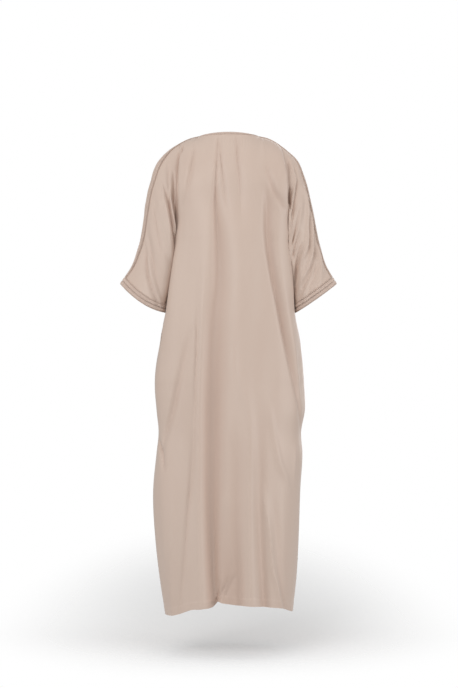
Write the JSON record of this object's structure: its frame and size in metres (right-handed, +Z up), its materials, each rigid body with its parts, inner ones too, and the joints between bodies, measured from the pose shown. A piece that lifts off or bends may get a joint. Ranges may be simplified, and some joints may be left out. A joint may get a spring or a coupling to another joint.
{
  "type": "thobe robe",
  "caption": "Ankle-length hollow robe with short wide kimono sleeves, round neck with a short front slit, and braid on neck, shoulders and cuffs.",
  "frame": {"origin": "where the wearer's shoulders hold the robe: the middle of the neck opening, level with the shoulder line at the neck", "axes": "+Z up, the front of the robe faces -Y and its back +Y, +X towards the wearer's left"},
  "size_m": [0.649, 0.3822, 1.4335],
  "materials": {
    "cloth": "smooth stone-coloured crepe with a soft satin sheen",
    "braid": "plaited rayon braid, a little darker and pinker than the cloth, with a dull sheen"
  },
  "bodies": {
    "root": {"back_panel": "cloth", "front_panel": "cloth", "neck_braid": "braid", "shoulder_braid_left": "braid", "shoulder_braid_right": "braid", "cuff_braid_left": "braid", "cuff_braid_right": "braid"}
  },
  "joints": []
}
